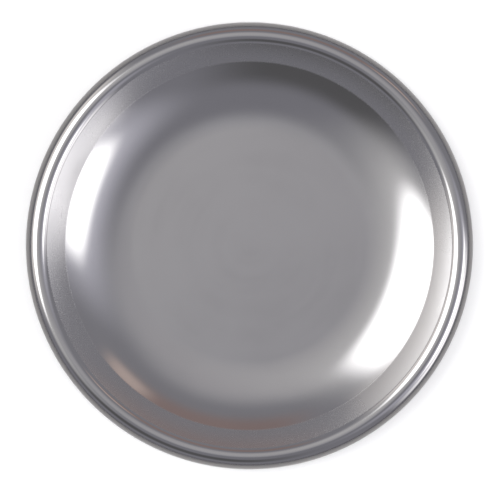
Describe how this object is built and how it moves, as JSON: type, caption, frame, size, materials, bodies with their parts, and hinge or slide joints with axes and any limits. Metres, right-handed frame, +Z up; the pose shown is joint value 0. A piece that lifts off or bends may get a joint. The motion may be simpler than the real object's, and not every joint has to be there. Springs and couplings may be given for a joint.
{
  "type": "steel pan",
  "caption": "Shallow round stainless steel pan with a flat middle, a softly curved floor, a low crowned side wall and a hollow rolled rim.",
  "frame": {"origin": "centre of the flat underside of the base, on the surface that the pan stands on", "axes": "+Z up along the pan's axis of revolution; X and Y are any two level directions, because the pan is round"},
  "size_m": [0.16, 0.16, 0.0108],
  "materials": {
    "stainless_sheet": "fine polish with faint concentric marks"
  },
  "bodies": {
    "root": {"dished_floor": "stainless_sheet", "side_wall": "stainless_sheet", "rolled_rim": "stainless_sheet"}
  },
  "joints": []
}
